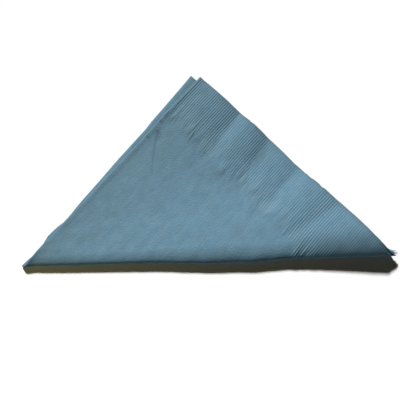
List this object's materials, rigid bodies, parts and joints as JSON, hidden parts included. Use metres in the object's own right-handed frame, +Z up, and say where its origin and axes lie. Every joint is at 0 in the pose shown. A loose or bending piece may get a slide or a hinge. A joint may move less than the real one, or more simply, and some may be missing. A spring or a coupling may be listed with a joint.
{
  "type": "paper napkin",
  "caption": "Disposable tissue paper napkin folded in quarters and then corner to corner into a flat triangle, with a fine ribbed border embossed along its cut edges.",
  "frame": {"origin": "middle of the napkin's box, on the surface it lies on", "axes": "+X along the last fold from the closed corner to the cut corners, +Y from that fold to the tip of the triangle, +Z up"},
  "size_m": [0.2306, 0.1156, 0.0102],
  "materials": {
    "tissue": "matte"
  },
  "bodies": {
    "root": {"napkin": "tissue"}
  },
  "joints": []
}
